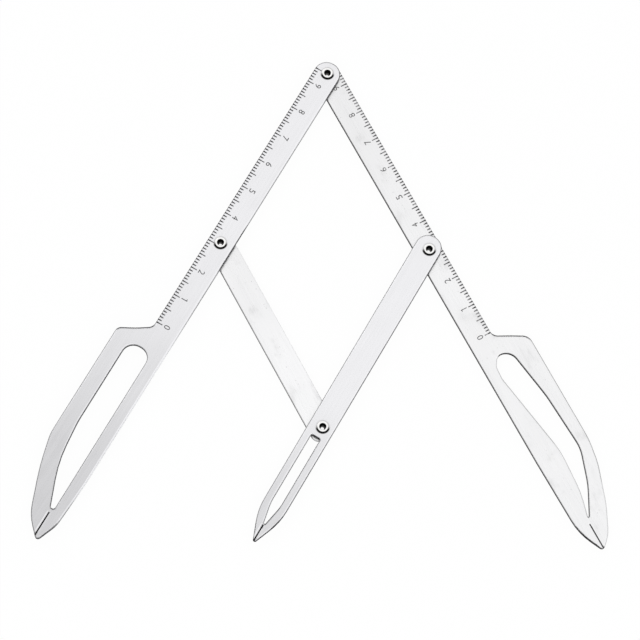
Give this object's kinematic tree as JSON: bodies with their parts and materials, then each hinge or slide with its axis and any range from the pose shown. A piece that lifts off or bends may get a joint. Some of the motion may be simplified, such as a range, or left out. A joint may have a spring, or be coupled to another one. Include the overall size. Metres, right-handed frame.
{
  "type": "golden ratio caliper",
  "caption": "Flat steel linkage caliper: bladed arms, a middle leg and a cross link turn on hollow rivets, so its points keep the golden ratio at any opening.",
  "frame": {"origin": "under the middle of the whole tool as pictured, on the plane that its four back rims rest on", "axes": "+Z out of the face that carries the scales, +Y from the three points towards the apex rivet, +X to the right along the line through the three points"},
  "size_m": [0.168, 0.1512, 0.0032],
  "materials": {
    "brushed_steel": "fine grain along the bars",
    "rivet_steel": "smooth, rolled over",
    "washer_steel": "plain, hidden between the bars"
  },
  "bodies": {
    "left_arm": {"left_arm": "brushed_steel", "apex_rivet": "rivet_steel", "apex_washer": "washer_steel", "left_rivet": "rivet_steel", "left_washer": "washer_steel"},
    "right_arm": {"right_arm": "brushed_steel", "right_rivet": "rivet_steel", "right_washer": "washer_steel"},
    "middle_leg": {"middle_leg": "brushed_steel", "foot_rivet": "rivet_steel", "foot_washer": "washer_steel"},
    "cross_link": {"cross_link": "brushed_steel"}
  },
  "joints": [
    {"name": "apex_hinge", "type": "hinge", "parent": "left_arm", "child": "right_arm", "pos_m": [-0.00012, 0.0718, 0.0016], "axis": [0, 0, 1], "range_deg": [-50, 113]},
    {"name": "left_link_hinge", "type": "hinge", "parent": "left_arm", "child": "cross_link", "pos_m": [-0.03154, 0.01582, 0.0016], "axis": [0, 0, 1], "range_deg": [-50, 113]},
    {"name": "leg_hinge", "type": "hinge", "parent": "right_arm", "child": "middle_leg", "pos_m": [0.0313, 0.01582, 0.0016], "axis": [0, 0, 1], "range_deg": [-113, 50]}
  ],
  "couplings": [
    {"joint": "left_link_hinge", "follows": "apex_hinge", "ratio": 1},
    {"joint": "leg_hinge", "follows": "apex_hinge", "ratio": -1}
  ]
}
